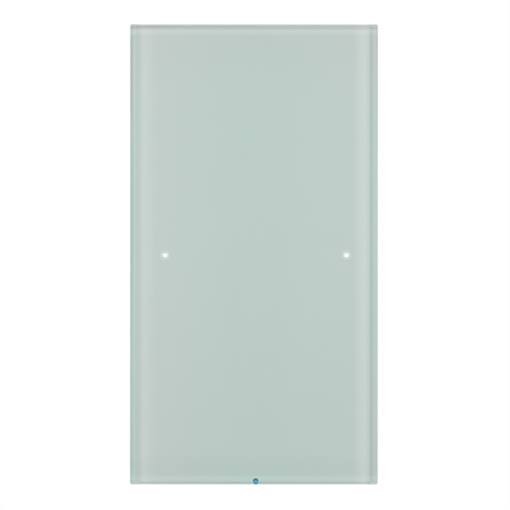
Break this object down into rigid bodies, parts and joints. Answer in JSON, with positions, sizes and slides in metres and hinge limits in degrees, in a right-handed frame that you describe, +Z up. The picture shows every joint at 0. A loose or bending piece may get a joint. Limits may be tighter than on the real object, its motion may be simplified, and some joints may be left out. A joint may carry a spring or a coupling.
{
  "type": "touch light switch",
  "caption": "Tall back-coated glass touch panel with white and blue light points, which pulls off a steel wall frame with a flush-mounted switching insert.",
  "frame": {"origin": "on the wall plane, at the centre of the wall-box screw pattern", "axes": "+X to the right seen from the front, +Y into the wall, +Z up along the plate's long side; the glass faces -Y"},
  "size_m": [0.0828, 0.0383, 0.1538],
  "materials": {
    "glass": "polished float glass, faintly green",
    "glass_coat": "opaque pale green-grey coat",
    "tape": "acrylic foam tape",
    "carrier_plastic": "fine moulded grain",
    "circuit_board": "solder mask",
    "copper": "copper",
    "white_light": "clear light guide",
    "led_case": "moulded",
    "blue_light": "clear light guide",
    "chip_case": "moulded",
    "chip_ceramic": "fired ceramic",
    "plug_plastic": "moulded",
    "gold_plate": "gold-plated",
    "spring_steel": "bright strip",
    "zinc_steel": "zinc-plated sheet",
    "screw_steel": "zinc-plated",
    "housing_plastic": "fine moulded grain",
    "cover_plastic": "fine moulded grain",
    "relay_case": "moulded",
    "winding_tape": "wound tape",
    "capacitor_sleeve": "shrunk sleeve",
    "capacitor_case": "moulded",
    "status_light": "tinted lens",
    "button_plastic": "moulded",
    "terminal_plastic": "moulded",
    "clamp_brass": "bright brass",
    "tinned_pin": "tinned"
  },
  "bodies": {
    "base": {"support_frame": "zinc_steel", "insert_screws": "screw_steel", "insert_housing": "housing_plastic", "insert_cover": "cover_plastic", "control_board": "circuit_board", "socket_header": "plug_plastic", "microcontroller": "chip_case", "relay": "relay_case", "supply_transformer": "winding_tape", "smoothing_capacitors": "capacitor_sleeve", "suppression_capacitor": "capacitor_case", "programming_switch": "chip_case", "programming_led": "status_light", "terminal_block": "terminal_plastic", "terminal_clamps": "clamp_brass", "terminal_screws": "screw_steel", "terminal_pins": "tinned_pin"},
    "panel": {"glass_panel": "glass", "colour_film": "glass_coat", "bonding_tape": "tape", "panel_carrier": "carrier_plastic", "touch_board": "circuit_board", "touch_electrodes": "copper", "indicator_lenses": "white_light", "indicator_leds": "led_case", "operating_light_pipe": "blue_light", "operating_led": "led_case", "touch_controller": "chip_case", "board_passives": "chip_ceramic", "pin_header": "plug_plastic", "header_pins": "gold_plate", "retaining_springs": "spring_steel"},
    "button": {"programming_button": "button_plastic"}
  },
  "joints": [
    {"name": "panel_pull_off", "type": "slide", "parent": "base", "child": "panel", "axis": [0, -1, 0], "range_m": [0, 0.03]},
    {"name": "programming_button_press", "type": "slide", "parent": "base", "child": "button", "axis": [0, 1, 0], "range_m": [0, 0.0005], "stiffness_N_per_m": 2000, "springref_m": -0.0003}
  ]
}
